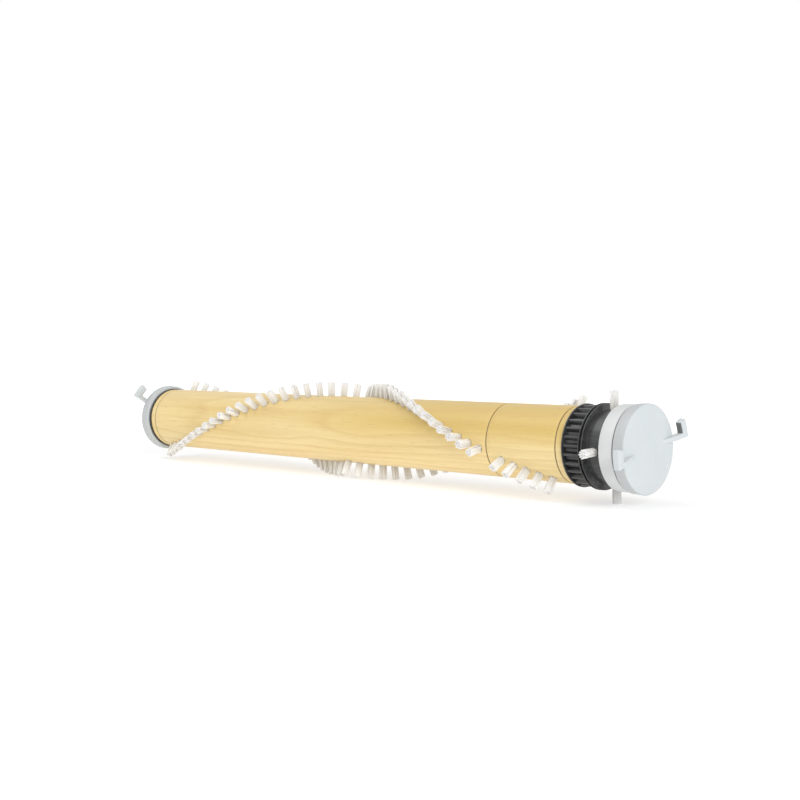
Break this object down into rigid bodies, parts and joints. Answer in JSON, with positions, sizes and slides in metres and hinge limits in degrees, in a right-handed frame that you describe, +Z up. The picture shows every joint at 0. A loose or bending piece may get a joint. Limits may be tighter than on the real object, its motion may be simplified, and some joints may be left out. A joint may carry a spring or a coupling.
{
  "type": "geared brush roll",
  "caption": "Wooden vacuum brush roll with spiral rows of white bristle tufts, a black toothed belt pulley near its end, and winged grey end caps that it spins in.",
  "frame": {"origin": "on the roll's axis, halfway between the outer faces of the two caps' wings", "axes": "X runs along the roll with the pulley at +X, Y points to the back, Z points up as the roll lies in the picture"},
  "size_m": [0.2852, 0.0433, 0.0402],
  "materials": {
    "maple": "clear lacquered light hardwood",
    "bristle": "white nylon bristle",
    "black_plastic": "moulded black, slightly glossy",
    "grey_plastic": "moulded pale grey, satin",
    "steel": "ground steel",
    "bronze": "sintered bronze",
    "felt": "pressed felt"
  },
  "bodies": {
    "roller": {"wooden_dowel": "maple", "bristle_row_1_left": "bristle", "bristle_row_1_right": "bristle", "bristle_row_2_left": "bristle", "bristle_row_2_right": "bristle", "tuft_anchors": "steel", "drive_pulley": "black_plastic", "hub_tufts": "bristle", "drive_pins": "steel", "right_thread_guard": "grey_plastic", "left_thread_guard": "black_plastic", "right_axle": "steel", "left_axle": "steel", "right_thrust_washer": "steel", "left_thrust_washer": "steel", "right_axle_clip": "steel", "left_axle_clip": "steel"},
    "right_cap": {"right_end_cap": "grey_plastic", "right_bush": "bronze", "right_felt_ring": "felt"},
    "left_cap": {"left_end_cap": "grey_plastic", "left_bush": "bronze", "left_felt_ring": "felt"}
  },
  "joints": [
    {"name": "right_cap_turn", "type": "hinge", "parent": "roller", "child": "right_cap", "pos_m": [0.14025, 0, 0], "axis": [1, 0, 0], "continuous": true},
    {"name": "left_cap_turn", "type": "hinge", "parent": "roller", "child": "left_cap", "pos_m": [-0.14025, 0, 0], "axis": [1, 0, 0], "continuous": true}
  ]
}
